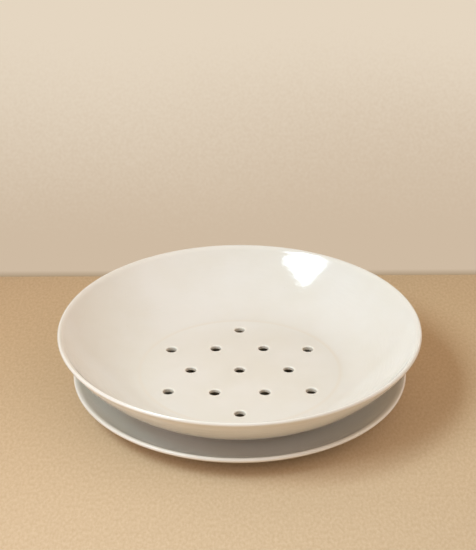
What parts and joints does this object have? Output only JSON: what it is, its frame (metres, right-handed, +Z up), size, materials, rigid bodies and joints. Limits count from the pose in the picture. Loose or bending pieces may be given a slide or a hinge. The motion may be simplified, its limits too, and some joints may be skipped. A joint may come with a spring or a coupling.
{
  "type": "colander bowl",
  "caption": "Wide shallow berry colander bowl with drain holes in its floor, standing loose on a matching drip plate.",
  "frame": {"origin": "on the table, at the centre of the plate's foot ring, on the common axis of plate and bowl", "axes": "+Z up along the common axis, -Y towards the viewer of the picture, +X to the viewer's right"},
  "size_m": [0.27, 0.27, 0.0545],
  "materials": {
    "plate_glaze": "glossy warm white glaze",
    "bowl_glaze": "glossy warm white glaze"
  },
  "bodies": {
    "plate": {"drip_plate": "plate_glaze"},
    "bowl": {"colander_bowl": "bowl_glaze"}
  },
  "joints": [
    {"name": "bowl_lift", "type": "slide", "parent": "plate", "child": "bowl", "axis": [0, 0, 1], "range_m": [0, 0.1]}
  ]
}
